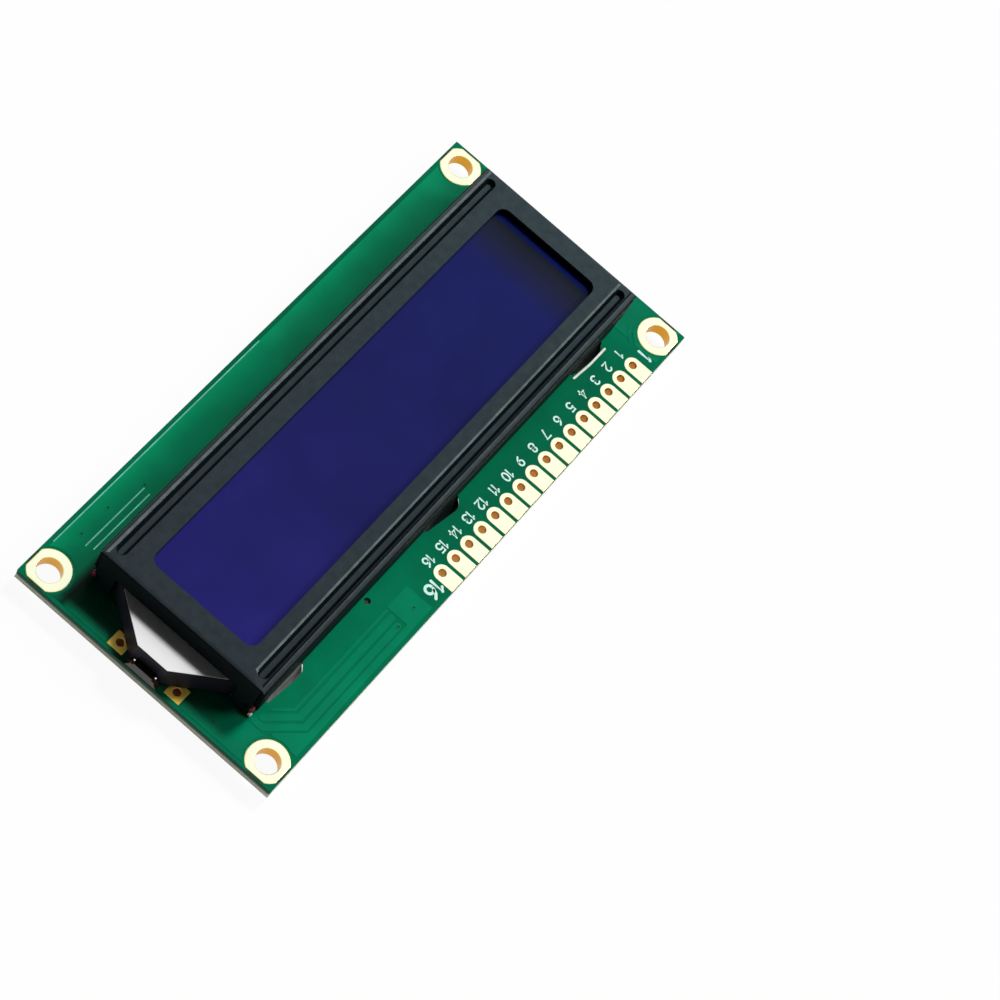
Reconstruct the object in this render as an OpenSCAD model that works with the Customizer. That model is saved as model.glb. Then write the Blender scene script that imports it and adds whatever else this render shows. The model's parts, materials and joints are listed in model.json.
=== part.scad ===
// Character LCD module: sixteen by two display glass under a stamped steel bezel on a
// green circuit board, lit from one end through a clear light guide.
// X runs along the reading direction, Y towards the header row and Z out of the display.
// The origin is under the middle of the board, at the tips of the bezel's twisted tabs.

/* [Board] */
// Length of the board along X
board_len = 80; // [78:0.5:90]
// Width of the board along Y
board_wid = 36; // [35.5:0.5:42]
// Thickness of the glass-fibre laminate
board_t = 1.6; // [1:0.2:2.4]
// Radius of the board's outer corners
board_corner_r = 0.3; // [0.1:0.1:1]
// Thickness of the plated copper lands
land_t = 0.07; // [0.05:0.01:0.1]
// Wall of the copper plating inside a hole
barrel_t = 0.05; // [0.04:0.01:0.1]

/* [Mounting holes] */
// Distance from the board's end to a mounting hole's centre
mount_inset_x = 2.5; // [2.2:0.1:4]
// Distance from the board's long edge to a mounting hole's centre
mount_inset_y = 2.5; // [2.2:0.1:3]
// Clear diameter of a mounting hole
mount_hole_d = 3; // [2.5:0.1:3.4]
// Diameter of the round land about a mounting hole
mount_land_d = 5.1; // [4.6:0.1:5.3]
// Bare laminate left between a land and the board's edge
edge_margin = 0.3; // [0.1:0.1:0.5]

/* [Header row] */
// Number of pin holes in the row
pin_count = 16; // [14:1:18]
// Distance between neighbouring pin holes
pin_pitch = 2.54; // [2.5:0.01:2.6]
// Distance from the board's left end to the first pin hole
pin_first_inset = 8; // [7:0.1:9]
// Distance from the board's upper edge to the row
pin_row_inset = 2.35; // [2:0.05:2.7]
// Clear diameter of a pin hole
pin_hole_d = 1; // [0.8:0.1:1.1]
// Width of a pin's land
pin_land_w = 2.1; // [1.8:0.1:2.2]

/* [Bezel] */
// Board left clear at each end of the bezel
bezel_end_margin = 4.85; // [4:0.05:7]
// Board left clear between the bezel and the header row's edge
bezel_upper_margin = 7; // [6:0.1:9]
// Board left clear between the bezel and the lower edge
bezel_lower_margin = 5.8; // [5:0.1:8]
// Width of the frame at each end of the window
frame_end_w = 2.9; // [2:0.05:5]
// Width of the frame above the window
frame_upper_w = 4.2; // [3.4:0.05:6]
// Width of the frame below the window
frame_lower_w = 4.5; // [3.4:0.05:6]
// Corner radius of the window
window_r = 1.2; // [0.5:0.1:2]
// Thickness of the steel sheet
sheet_t = 0.5; // [0.4:0.05:0.6]
// Outer radius of the bend along each end
bend_r = 0.5; // [0.5:0.05:0.8]
// Outer radius of the bend along each long side, which the beads draw out
side_bend_r = 0.9; // [0.5:0.05:0.9]
// Width of a pressed bead at its mouth
bead_w = 1.4; // [1:0.1:1.5]
// Width of a pressed bead at its floor
bead_floor_w = 0.6; // [0.4:0.1:0.9]
// Depth of a pressed bead, whose back bears on the glass
bead_depth = 0.7; // [0.4:0.05:0.8]
// Distance from the bezel's long side to a bead's centre line
bead_inset = 1.66; // [1.65:0.01:1.9]
// Distance from the bezel's end to the tip of a bead
bead_end_inset = 1.05; // [0.8:0.05:2]
// Width of the relief at the foot of each folded corner
corner_relief_w = 1.4; // [1:0.1:1.8]
// Height of that relief
corner_relief_h = 2.2; // [1:0.1:3]

/* [Twisted tabs] */
// Width of a tab that holds the bezel to the board
tab_w = 5.6; // [3:0.2:7]
// How far a tab stands out below the board
tab_drop = 1.4; // [1.3:0.1:2]
// Room that the twisted left tabs leave at the outer side of their slots
tab_room_left = 0.25; // [0.1:0.05:0.5]
// Room that the twisted middle tabs leave there
tab_room_middle = 0.1; // [0.1:0.05:0.5]
// Room that the twisted right tabs leave there
tab_room_right = 0.45; // [0.1:0.05:0.5]
// Distance from the bezel's end to the centre of the outer tabs
tab_end_inset = 6.35; // [5:0.05:12]
// Room at each end of a tab in its slot
slot_end_gap = 0.7; // [0.2:0.1:1.5]
// How far a slot reaches past the bezel's outer face
slot_reach = 1.05; // [0.6:0.05:1.1]
// Diameter of the locating hole beside the bezel
locating_hole_d = 0.8; // [0.5:0.1:1]
// Distance from the board's centre to the locating hole
locating_hole_x = 15; // [10:0.5:20]

/* [Display glass] */
// Thickness of each glass plate
glass_t = 0.9; // [0.7:0.1:1.3]
// Thickness of the front polarizing film
front_film_t = 0.3; // [0.2:0.05:0.35]
// Thickness of the rear polarizing film
rear_film_t = 0.25; // [0.2:0.05:0.35]
// Width of the contact ledge where the front plate overhangs the rear one
ledge_w = 2.5; // [2.2:0.1:3]
// How far both films stay short of the glass's ends
film_end_inset = 0.55; // [0.2:0.05:0.9]
// How far the rear film stays short of the rear plate's long sides
film_inset = 0.2; // [0.1:0.05:0.5]
// Length along Y of the epoxy that closes the filling port
port_seal_len = 4; // [2:0.5:6]

/* [Connector strips] */
// Width of an elastomer connector strip
strip_w = 1.9; // [1.6:0.1:2]
// Strip left without contact fingers at each end
finger_end_gap = 4; // [2:0.5:10]
// Distance between neighbouring contact fingers
finger_pitch = 1.5; // [1.2:0.05:1.5]
// Width of a contact finger
finger_w = 0.8; // [0.5:0.1:0.9]
// How far a finger reaches past each side of its strip
finger_overhang = 0.15; // [0.05:0.05:0.2]

/* [Backlight] */
// Thickness of the clear light guide
guide_t = 3.5; // [2.5:0.1:4]
// Thickness of the white film behind the guide
reflector_t = 0.2; // [0.1:0.05:0.3]
// Thickness of the white diffuser film before the guide
diffuser_t = 0.15; // [0.1:0.05:0.3]
// Thickness of the white film on the guide's tongue
tongue_film_t = 0.1; // [0.05:0.05:0.15]
// Width of the tongue at its outer end
tongue_end_w = 4.2; // [3.6:0.1:6]
// Distance from the board's right end to the tongue's end
tongue_inset = 0.85; // [0.8:0.05:1.2]
// Strip of clear edge left round the film on the tongue
tongue_rim = 0.12; // [0.05:0.01:0.3]

/* [Lamp] */
// Width of the lamp between its terminals
lamp_w = 2.6; // [2:0.1:3]
// Height of the lamp
lamp_h = 1.6; // [1:0.1:2]
// Length along Y of each lamp terminal
lamp_terminal_w = 0.4; // [0.3:0.1:0.5]
// Length along Y of the solder beside each terminal
lamp_solder_w = 0.5; // [0.3:0.1:0.6]
// Side of the square lands either side of the lamp
lamp_land_w = 2.1; // [1.6:0.1:2.2]
// Gap between the lamp's solder and each of those lands
lamp_land_gap = 0.78; // [0.3:0.01:1.5]
// Distance from the board's right end to the lands' centres
lamp_land_inset = 1.6; // [1.4:0.1:2]

/* [Rear components] */
// Radius of the epoxy over the controller chip
controller_r = 6.6; // [5:0.1:7]
// Radius of the epoxy over the driver chip
driver_r = 6; // [5:0.1:7]
// How far both domes stay short of the tips of the tabs
dome_clearance = 0.2; // [0.1:0.05:0.5]
// Gap between each dome and the rows of chips
dome_gap = 2.7; // [1:0.1:6]
// Length of a chip resistor or capacitor
chip_len = 2; // [1.6:0.1:2.2]
// Width of a chip
chip_w = 1.25; // [0.8:0.05:1.4]
// Height of a chip
chip_h = 0.55; // [0.4:0.05:0.7]
// Length of a chip's metal end cap
chip_cap_len = 0.35; // [0.25:0.05:0.5]
// Distance between neighbouring chips
chip_pitch = 2.5; // [2.1:0.1:2.8]
// Number of resistors in the upper row, which has the capacitor at its end
resistor_count = 4; // [2:1:4]
// Distance from the bezel's centre line to either row of chips
chip_row_y = 3.6; // [3:0.1:5]

/* [Clearances] */
// Gap between the glass and the inside of the bezel
glass_gap = 0.2; // [0.1:0.05:0.3]
// Gap between the light guide and each connector strip
guide_gap = 0.3; // [0.1:0.05:0.5]
// Gap between a connector strip's end and the bezel
strip_end_gap = 0.5; // [0.3:0.1:1]
// Gap between two folded walls at a corner
fold_gap = 0.1; // [0.05:0.05:0.2]
// Gap between the tongue and its cut-out in the bezel
tongue_gap = 0.2; // [0.1:0.05:0.3]
// Gap between a tab and the inner side of its slot
slot_gap = 0.1; // [0.05:0.05:0.2]
// Gap between the lamp and the tongue, and from the lamp to the board's end
lamp_gap = 0.05; // [0.02:0.01:0.1]
// How far a pin's land stays short of the board's edge
land_edge_gap = 0.1; // [0.05:0.05:0.3]

/* [Hidden] */
$fn = 48;

// Heights, from the tips of the tabs up through the stack.
board_z0 = tab_drop;
board_z1 = board_z0 + board_t;
guide_z0 = board_z1 + reflector_t;
guide_z1 = guide_z0 + guide_t;
rear_film_z0 = guide_z1 + diffuser_t;
rear_glass_z0 = rear_film_z0 + rear_film_t;
front_glass_z0 = rear_glass_z0 + glass_t;
front_film_z0 = front_glass_z0 + glass_t;
bezel_z1 = front_film_z0 + bead_depth + sheet_t;
bezel_h = bezel_z1 - board_z1;

// Outside and inside of the bezel, and its window.
bezel_len = board_len - 2 * bezel_end_margin;
bezel_wid = board_wid - bezel_upper_margin - bezel_lower_margin;
bezel_y = (bezel_lower_margin - bezel_upper_margin) / 2;
window_len = bezel_len - 2 * frame_end_w;
window_wid = bezel_wid - frame_upper_w - frame_lower_w;
window_y = bezel_y + (frame_lower_w - frame_upper_w) / 2;
inner_len = bezel_len - 2 * sheet_t;
inner_wid = bezel_wid - 2 * sheet_t;

// Glass plates: the front one overhangs the rear one by a contact ledge on both long sides.
front_glass_len = inner_len - 2 * glass_gap;
front_glass_wid = inner_wid - 2 * glass_gap;
rear_glass_wid = front_glass_wid - 2 * ledge_w;
bead_y = bezel_wid / 2 - bead_inset;
bead_len = bezel_len - 2 * bead_end_inset;
bead_back_w = bead_w + 0.8 * sheet_t;
front_film_wid = 2 * bead_y - bead_back_w - 2 * glass_gap;
film_len = front_glass_len - 2 * film_end_inset;
port_seal_t = glass_gap / 2;

// Connector strips stand against the ledges, and the guide fills the room between them.
strip_y = (rear_glass_wid + ledge_w) / 2;
strip_len = inner_len - 2 * strip_end_gap;
finger_len = strip_w + 2 * finger_overhang;
finger_count = floor((strip_len - 2 * finger_end_gap) / finger_pitch);
guide_wid = 2 * (strip_y - strip_w / 2 - guide_gap);
guide_x0 = -front_glass_len / 2;
guide_shoulder_x = inner_len / 2 - glass_gap;
tongue_x1 = board_len / 2 - tongue_inset;

// Tabs and slots.
tab_xs = [for (i = [-1:1]) i * (bezel_len / 2 - tab_end_inset)];
tab_rooms = [tab_room_left, tab_room_middle, tab_room_right];
slot_len = tab_w + 2 * slot_end_gap;
wall_mid_y = (bezel_wid - sheet_t) / 2;
slot_y0 = inner_wid / 2 - slot_gap;
slot_wid = sheet_t + slot_gap + slot_reach;
locating_y = bezel_y + bezel_wid / 2 + slot_reach - locating_hole_d / 2;

// Header row and lamp lands.
pin_xs = [for (i = [0:pin_count - 1]) pin_first_inset - board_len / 2 + i * pin_pitch];
pin_y = board_wid / 2 - pin_row_inset;
pin_land_end = pin_row_inset - land_edge_gap;
lamp_land_x = board_len / 2 - lamp_land_inset;
lamp_x0 = tongue_x1 + lamp_gap;
lamp_t = tongue_inset - 2 * lamp_gap;
lamp_land_y = lamp_w / 2 + lamp_terminal_w + lamp_solder_w + lamp_land_gap + lamp_land_w / 2;

// Rear components.
dome_h = tab_drop - dome_clearance;
chip_row_half = (resistor_count * chip_pitch + chip_w) / 2;
chip_xs = [for (i = [0:resistor_count]) (i - resistor_count / 2) * chip_pitch];
resistor_spots = concat(
    [for (i = [0:resistor_count - 1]) [chip_xs[i], chip_row_y]],
    [for (x = chip_xs) [x, -chip_row_y]]
);
capacitor_spot = [chip_xs[resistor_count], chip_row_y];
chip_spots = concat(resistor_spots, [capacitor_spot]);
chip_core_len = chip_len - 2 * chip_cap_len;
chip_skin = 0.03;
solder_len = 0.45;

// ---- shared shapes ----

// Puts its children at the four mounting holes, turned so that +X and +Y face the corner.
module at_mounts() {
    for (i = [0, 1], j = [0, 1])
        mirror([i, 0, 0])
            mirror([0, j, 0])
                translate([board_len / 2 - mount_inset_x, board_wid / 2 - mount_inset_y, 0])
                    children();
}

// Puts its children at both long sides of the bezel, measured from its centre line.
module at_long_sides() {
    translate([0, bezel_y, 0])
        for (j = [0, 1])
            mirror([0, j, 0])
                children();
}

// A copper land on each face of the board, joined by the plating of a round hole.
module plated_hole(hole_d) {
    difference() {
        union() {
            for (z = [board_z0 - land_t, board_z1])
                translate([0, 0, z])
                    linear_extrude(land_t)
                        children();
            translate([0, 0, board_z0 - land_t])
                cylinder(d = hole_d + 2 * barrel_t, h = board_t + 2 * land_t);
        }
        translate([0, 0, board_z0 - 1])
            cylinder(d = hole_d, h = board_t + 2);
    }
}

// The hole in the laminate round that plating.
module drilled(hole_d) {
    translate([0, 0, board_z0 - 1])
        cylinder(d = hole_d + 2 * barrel_t, h = board_t + 2);
}

// A plate centred on the bezel's centre line.
module plate(len, wid, z, t) {
    translate([-len / 2, bezel_y - wid / 2, z])
        cube([len, wid, t]);
}

// A rectangle with round corners.
module rounded_rect(len, wid, r) {
    union() {
        square([len - 2 * r, wid], center = true);
        square([len, wid - 2 * r], center = true);
        for (x = [-1, 1], y = [-1, 1])
            translate([x * (len / 2 - r), y * (wid / 2 - r)])
                circle(r);
    }
}

// ---- board and plating ----

module printed_circuit_board() {
    color("darkgreen")
        difference() {
            translate([0, 0, board_z0])
                linear_extrude(board_t)
                    rounded_rect(board_len, board_wid, board_corner_r);
            at_mounts()
                drilled(mount_hole_d);
            for (x = pin_xs)
                translate([x, pin_y, 0])
                    drilled(pin_hole_d);
            lamp_land_places()
                drilled(pin_hole_d);
            at_long_sides()
                for (x = tab_xs)
                    translate([x - slot_len / 2, slot_y0, board_z0 - 1])
                        cube([slot_len, slot_wid, board_t + 2]);
            translate([locating_hole_x, locating_y, board_z0 - 1])
                cylinder(d = locating_hole_d, h = board_t + 2);
        }
}

// Round lands, cut flat where they come near the board's edges.
module mounting_hole_plating() {
    clip_x = mount_inset_x - edge_margin;
    clip_y = mount_inset_y - edge_margin;
    color("gold")
        at_mounts()
            plated_hole(mount_hole_d)
                intersection() {
                    circle(d = mount_land_d);
                    translate([clip_x - mount_land_d, clip_y - mount_land_d])
                        square(mount_land_d);
                }
}

// U-shaped lands that run out to the board's edge.
module header_hole_plating() {
    color("gold")
        for (x = pin_xs)
            translate([x, pin_y, 0])
                plated_hole(pin_hole_d)
                    union() {
                        circle(d = pin_land_w);
                        translate([-pin_land_w / 2, 0])
                            square([pin_land_w, pin_land_end]);
                    }
}

module lamp_land_places() {
    for (y = [-1, 1])
        translate([lamp_land_x, bezel_y + y * lamp_land_y, 0])
            children();
}

module lamp_lands() {
    color("gold")
        lamp_land_places()
            plated_hole(pin_hole_d)
                square(lamp_land_w, center = true);
}

// Bare contacts that the connector strips press on.
module contact_fingers() {
    color("gold")
        at_long_sides()
            for (i = [0:finger_count - 1])
                translate([
                    (i - (finger_count - 1) / 2) * finger_pitch - finger_w / 2,
                    strip_y - finger_len / 2,
                    board_z1
                ])
                    cube([finger_w, finger_len, land_t]);
}

// ---- bezel ----

// End view of the folded sheet: square at the foot, rounded along the top.
module bend_profile(wid, h, r) {
    union() {
        translate([-wid / 2, 0])
            square([wid, h - r]);
        translate([r - wid / 2, 0])
            square([wid - 2 * r, h]);
        for (x = [-1, 1])
            translate([x * (wid / 2 - r), h - r])
                circle(r);
    }
}

// A long pocket with sloping sides and round ends, its mouth at z = 0.
module pressed_pocket(len, mouth_w, floor_w, depth) {
    straight = len - mouth_w;
    union() {
        translate([-straight / 2, 0, 0])
            rotate([90, 0, 90])
                linear_extrude(straight)
                    polygon([
                        [-mouth_w / 2, 0], [-floor_w / 2, -depth],
                        [floor_w / 2, -depth], [mouth_w / 2, 0]
                    ]);
        for (x = [-1, 1])
            translate([x * straight / 2, 0, -depth])
                cylinder(d1 = floor_w, d2 = mouth_w, h = depth);
    }
}

// A tab from the wall's foot that twists outwards about its right edge all the way down, so
// that at the board's underside its left edge comes near the outer side of the slot.
module twist_tab(room) {
    slot_angle = asin((slot_reach - room) / tab_w);
    translate([tab_w / 2, 0, board_z1])
        union() {
            translate([-tab_w, -sheet_t / 2, 0])
                cube([tab_w, sheet_t, 1]);
            mirror([0, 0, 1])
                linear_extrude(board_t + tab_drop, twist = slot_angle * (board_t + tab_drop) / board_t,
                               slices = 8, segments = 4)
                    translate([-tab_w, -sheet_t / 2])
                        square([tab_w, sheet_t]);
        }
}

// Sheet steel folded down on four sides, with two pressed beads that bear on the glass.
module bezel() {
    fold_w = sheet_t + fold_gap;
    color("dimgray")
        union() {
            difference() {
                translate([0, bezel_y, board_z1])
                    intersection() {
                        translate([-bezel_len / 2, 0, 0])
                            rotate([90, 0, 90])
                                linear_extrude(bezel_len)
                                    bend_profile(bezel_wid, bezel_h, side_bend_r);
                        translate([0, bezel_wid / 2, 0])
                            rotate([90, 0, 0])
                                linear_extrude(bezel_wid)
                                    bend_profile(bezel_len, bezel_h, bend_r);
                    }
                difference() {
                    plate(inner_len, inner_wid, board_z1 - 1, bezel_h - sheet_t + 1);
                    at_long_sides()
                        translate([0, bead_y, front_film_z0])
                            linear_extrude(bead_depth + 1)
                                rounded_bar(bead_len + bead_back_w - bead_w, bead_back_w);
                }
                at_long_sides()
                    translate([0, bead_y, bezel_z1])
                        pressed_pocket(bead_len, bead_w, bead_floor_w, bead_depth);
                translate([0, window_y, bezel_z1 - sheet_t - 1])
                    linear_extrude(sheet_t + 2)
                        rounded_rect(window_len, window_wid, window_r);
                at_bezel_corners() {
                    translate([-fold_w, -fold_w, board_z1 - 1])
                        cube([fold_w + 1, fold_w + 1, bezel_h - bend_r + 1]);
                    translate([-corner_relief_w, -corner_relief_w, board_z1 - 1])
                        cube([corner_relief_w + 1, corner_relief_w + 1, corner_relief_h + 1]);
                }
                translate([inner_len / 2 - 1, bezel_y - guide_wid / 2 - tongue_gap, board_z1 - 1])
                    cube([sheet_t + 2, guide_wid + 2 * tongue_gap,
                          guide_z1 + tongue_film_t + tongue_gap - board_z1 + 1]);
            }
            at_long_sides()
                for (i = [0:2])
                    translate([tab_xs[i], wall_mid_y, 0])
                        twist_tab(tab_rooms[i]);
        }
}

module rounded_bar(len, wid) {
    union() {
        square([len - wid, wid], center = true);
        for (x = [-1, 1])
            translate([x * (len - wid) / 2, 0])
                circle(d = wid);
    }
}

// Puts its children at the bezel's corners, turned so that +X and +Y point outwards.
module at_bezel_corners() {
    translate([0, bezel_y, 0])
        for (i = [0, 1], j = [0, 1])
            mirror([i, 0, 0])
                mirror([0, j, 0])
                    translate([bezel_len / 2, bezel_wid / 2, 0])
                        children();
}

// ---- display glass ----

module front_polarizer() {
    color("midnightblue")
        plate(film_len, front_film_wid, front_film_z0, front_film_t);
}

module front_glass() {
    color("lightblue")
        plate(front_glass_len, front_glass_wid, front_glass_z0, glass_t);
}

module rear_glass() {
    color("lightblue")
        plate(front_glass_len, rear_glass_wid, rear_glass_z0, glass_t);
}

module rear_polarizer() {
    color("midnightblue")
        plate(film_len, rear_glass_wid - 2 * film_inset, rear_film_z0, rear_film_t);
}

// Epoxy over the port through which the cell was filled.
module filling_port_seal() {
    color("gold")
        translate([-front_glass_len / 2 - port_seal_t, bezel_y - port_seal_len / 2,
                   rear_glass_z0 + glass_t / 2])
            cube([port_seal_t, port_seal_len, glass_t]);
}

// ---- connector strips ----

module connector_strip() {
    strip_z0 = board_z1 + land_t;
    color("pink")
        translate([-strip_len / 2, strip_y - strip_w / 2, strip_z0])
            cube([strip_len, strip_w, front_glass_z0 - strip_z0]);
}

module connector_strip_upper() {
    translate([0, bezel_y, 0])
        connector_strip();
}

module connector_strip_lower() {
    translate([0, bezel_y, 0])
        mirror([0, 1, 0])
            connector_strip();
}

// ---- backlight ----

// The tongue's outline from a given end, narrowed all round by a rim.
module tongue_outline(x0, rim) {
    slope = (guide_wid - tongue_end_w) / 2 / (tongue_x1 - guide_shoulder_x);
    side = rim * sqrt(1 + slope * slope);
    function half_w(x) = tongue_end_w / 2 + (tongue_x1 - x) * slope - side;
    x1 = tongue_x1 - rim;
    polygon([
        [x0, -half_w(x0)], [x1, -half_w(x1)],
        [x1, half_w(x1)], [x0, half_w(x0)]
    ]);
}

// Clear slab under the glass, with a tapering tongue that takes in the lamp's light.
module light_guide() {
    color("whitesmoke")
        translate([0, bezel_y, guide_z0])
            linear_extrude(guide_t)
                union() {
                    translate([guide_x0, -guide_wid / 2])
                        square([guide_shoulder_x - guide_x0, guide_wid]);
                    tongue_outline(guide_shoulder_x, 0);
                }
}

module rear_reflector() {
    color("white")
        plate(2 * guide_shoulder_x, guide_wid, board_z1, reflector_t);
}

module diffuser_film() {
    color("white")
        plate(2 * guide_shoulder_x, guide_wid, guide_z1, diffuser_t);
}

// White film that keeps the light in the tongue.
module tongue_reflector() {
    color("white")
        translate([0, bezel_y, guide_z1])
            linear_extrude(tongue_film_t)
                tongue_outline(guide_shoulder_x + lamp_gap, tongue_rim);
}

// ---- lamp ----

module lamp_body() {
    color("darkslategray")
        translate([lamp_x0, bezel_y - lamp_w / 2, board_z1])
            cube([lamp_t, lamp_w, lamp_h]);
}

module lamp_terminals() {
    color("silver")
        for (y = [-1, 1])
            translate([lamp_x0, bezel_y + y * (lamp_w + lamp_terminal_w) / 2 - lamp_terminal_w / 2,
                       board_z1])
                cube([lamp_t, lamp_terminal_w, 0.75 * lamp_h]);
}

// A wedge of solder from each terminal down to the board.
module lamp_solder() {
    start = lamp_w / 2 + lamp_terminal_w;
    color("silver")
        translate([lamp_x0, bezel_y, board_z1])
            for (j = [0, 1])
                mirror([0, j, 0])
                    rotate([90, 0, 90])
                        linear_extrude(lamp_t)
                            polygon([
                                [start, 0], [start + lamp_solder_w, 0],
                                [start + lamp_solder_w, land_t], [start, 0.6 * lamp_h]
                            ]);
}

// ---- rear components ----

// A low dome of potting epoxy with a rounded shoulder, hanging below the board.
module epoxy_dome(r) {
    edge_r = 0.8 * dome_h;
    crown_r = 4 * r;
    translate([0, 0, board_z0])
        mirror([0, 0, 1])
            rotate_extrude($fn = 96)
                intersection() {
                    translate([0, dome_h - crown_r])
                        circle(crown_r, $fn = 240);
                    union() {
                        square([r - edge_r, dome_h]);
                        translate([r - edge_r, 0])
                            intersection() {
                                circle(edge_r);
                                square(edge_r);
                            }
                    }
                }
}

module controller_dome() {
    color("black")
        translate([-chip_row_half - dome_gap - controller_r, bezel_y, 0])
            epoxy_dome(controller_r);
}

module driver_dome() {
    color("black")
        translate([chip_row_half + dome_gap + driver_r, bezel_y, 0])
            epoxy_dome(driver_r);
}

// Puts its children at chip places on the board's underside.
module at_chips(spots) {
    for (p = spots)
        translate([p[0], bezel_y + p[1], board_z0])
            children();
}

module chip_core() {
    translate([-chip_w / 2, -chip_core_len / 2, -chip_h])
        cube([chip_w, chip_core_len, chip_h]);
}

module chip_resistors() {
    color("dimgray")
        at_chips(resistor_spots)
            chip_core();
}

module chip_capacitor() {
    color("tan")
        at_chips([capacitor_spot])
            chip_core();
}

module chip_end_caps() {
    color("silver")
        at_chips(chip_spots)
            for (j = [0, 1])
                mirror([0, j, 0])
                    translate([-chip_w / 2 - chip_skin, chip_core_len / 2, -chip_h - chip_skin])
                        cube([chip_w + 2 * chip_skin, chip_cap_len, chip_h + chip_skin]);
}

module chip_solder() {
    color("silver")
        at_chips(chip_spots)
            for (j = [0, 1])
                mirror([0, j, 0])
                    translate([-chip_w / 2, chip_len / 2, 0])
                        rotate([90, 0, 90])
                            linear_extrude(chip_w)
                                polygon([
                                    [0, 0], [solder_len, 0],
                                    [solder_len, -land_t], [0, -0.7 * chip_h]
                                ]);
}

printed_circuit_board();
mounting_hole_plating();
header_hole_plating();
lamp_lands();
contact_fingers();
bezel();
front_polarizer();
front_glass();
rear_glass();
rear_polarizer();
filling_port_seal();
connector_strip_upper();
connector_strip_lower();
diffuser_film();
light_guide();
rear_reflector();
tongue_reflector();
lamp_body();
lamp_terminals();
lamp_solder();
controller_dome();
driver_dome();
chip_resistors();
chip_capacitor();
chip_end_caps();
chip_solder();
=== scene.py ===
# %% [markdown]
# # A sixteen by two character display, dressed for the camera
#
# The shapes of this display module come from a CAD model. It arrives here as a fixed frame of
# solids: a green circuit board, gold lands, a folded steel bezel, the glass and a light guide.
# This notebook gives each of them its finish and adds what is too thin for CAD, such as the
# solder mask, the copper tracks under it and the printed numbers.
#
# Everything is in metres. The board lies flat, X runs along the reading direction, Y runs
# towards the row of pin holes and Z comes out of the front of the display.

# %% Load the frame
import json
import math

import bmesh
import bpy
from mathutils import Matrix, Vector


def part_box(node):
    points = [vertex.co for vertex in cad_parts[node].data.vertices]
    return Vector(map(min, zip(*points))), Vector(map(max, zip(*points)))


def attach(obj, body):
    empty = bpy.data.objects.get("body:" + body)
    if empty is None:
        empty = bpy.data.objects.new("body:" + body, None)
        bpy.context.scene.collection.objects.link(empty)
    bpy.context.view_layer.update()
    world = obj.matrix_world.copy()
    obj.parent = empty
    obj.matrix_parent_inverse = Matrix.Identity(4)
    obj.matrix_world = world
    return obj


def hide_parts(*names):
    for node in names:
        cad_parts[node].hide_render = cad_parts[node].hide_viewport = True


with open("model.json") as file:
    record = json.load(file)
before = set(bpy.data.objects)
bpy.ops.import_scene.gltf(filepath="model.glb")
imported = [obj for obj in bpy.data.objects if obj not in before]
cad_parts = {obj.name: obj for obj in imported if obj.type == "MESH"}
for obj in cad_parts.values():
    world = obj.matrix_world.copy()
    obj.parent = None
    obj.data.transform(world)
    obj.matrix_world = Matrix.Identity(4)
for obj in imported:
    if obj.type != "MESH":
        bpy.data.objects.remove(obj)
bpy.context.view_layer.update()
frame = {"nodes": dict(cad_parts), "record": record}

MM = 0.001
nodes = frame["nodes"]

# %% [markdown]
# ## Measures taken from the frame
#
# A piece that is added here has to sit on the CAD solids, so it takes its place from them and
# not from numbers typed in twice.

# %% Measure the board, the bezel and the holes
board_lo, board_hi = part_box("printed_circuit_board")
bezel_lo, bezel_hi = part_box("bezel")
glass_lo, glass_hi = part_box("front_glass")
lamp_lo, lamp_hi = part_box("lamp_body")
lands_lo, lands_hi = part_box("lamp_lands")
mounts = {m["name"]: m for m in frame["record"]["mounts"]}
pin_count = 16
first_pin = Vector(mounts["header_pin_1"]["pos_m"])
last_pin = Vector(mounts["header_pin_16"]["pos_m"])
pin_pitch = (last_pin.x - first_pin.x) / (pin_count - 1)
pin_xs = [first_pin.x + i * pin_pitch for i in range(pin_count)]
screw_dims = mounts["board_screws"]["dims"]
screw_x = screw_dims["spacing_x_mm"] * MM / 2
screw_y = screw_dims["spacing_y_mm"] * MM / 2
front_z, back_z = board_hi.z, board_lo.z
bezel_y = (glass_lo.y + glass_hi.y) / 2
print("board", tuple(round(c / MM, 2) for c in board_hi - board_lo), "mm, pitch",
      round(pin_pitch / MM, 3), "mm")

# %% [markdown]
# ## The camera
#
# The camera stands high over the lit end of the module and looks down its length, turned on
# its own axis so that the board lies aslant in its view. A camera looks along its own -Z and
# has its own +Y up, so three directions at right angles make its rotation. A long lens from
# a third of a metre away keeps the two long edges of the board nearly parallel.

# %% Place the camera
def put(name, data):
    """A new object in the scene that holds those data."""
    thing = bpy.data.objects.new(name, data)
    bpy.context.scene.collection.objects.link(thing)
    return thing


camera_place = Vector((0.18005, 0.03223, 0.30899))
looking = Vector((-0.51900, -0.04839, -0.85341)).normalized()
to_the_right = Vector((-0.57861, 0.75477, 0.30908)).normalized()
upward = to_the_right.cross(looking)
camera_data = bpy.data.cameras.new("camera")
camera_data.sensor_width = 36
camera_data.lens = 113.74
camera_data.clip_start, camera_data.clip_end = 0.01, 10
camera = put("camera", camera_data)
turn = Matrix((to_the_right, upward, -looking)).transposed()
camera.matrix_world = Matrix.Translation(camera_place) @ turn.to_4x4()
bpy.context.scene.camera = camera
print("camera", round((camera_place - Vector((0, 0, front_z))).length / MM), "mm away")

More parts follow.
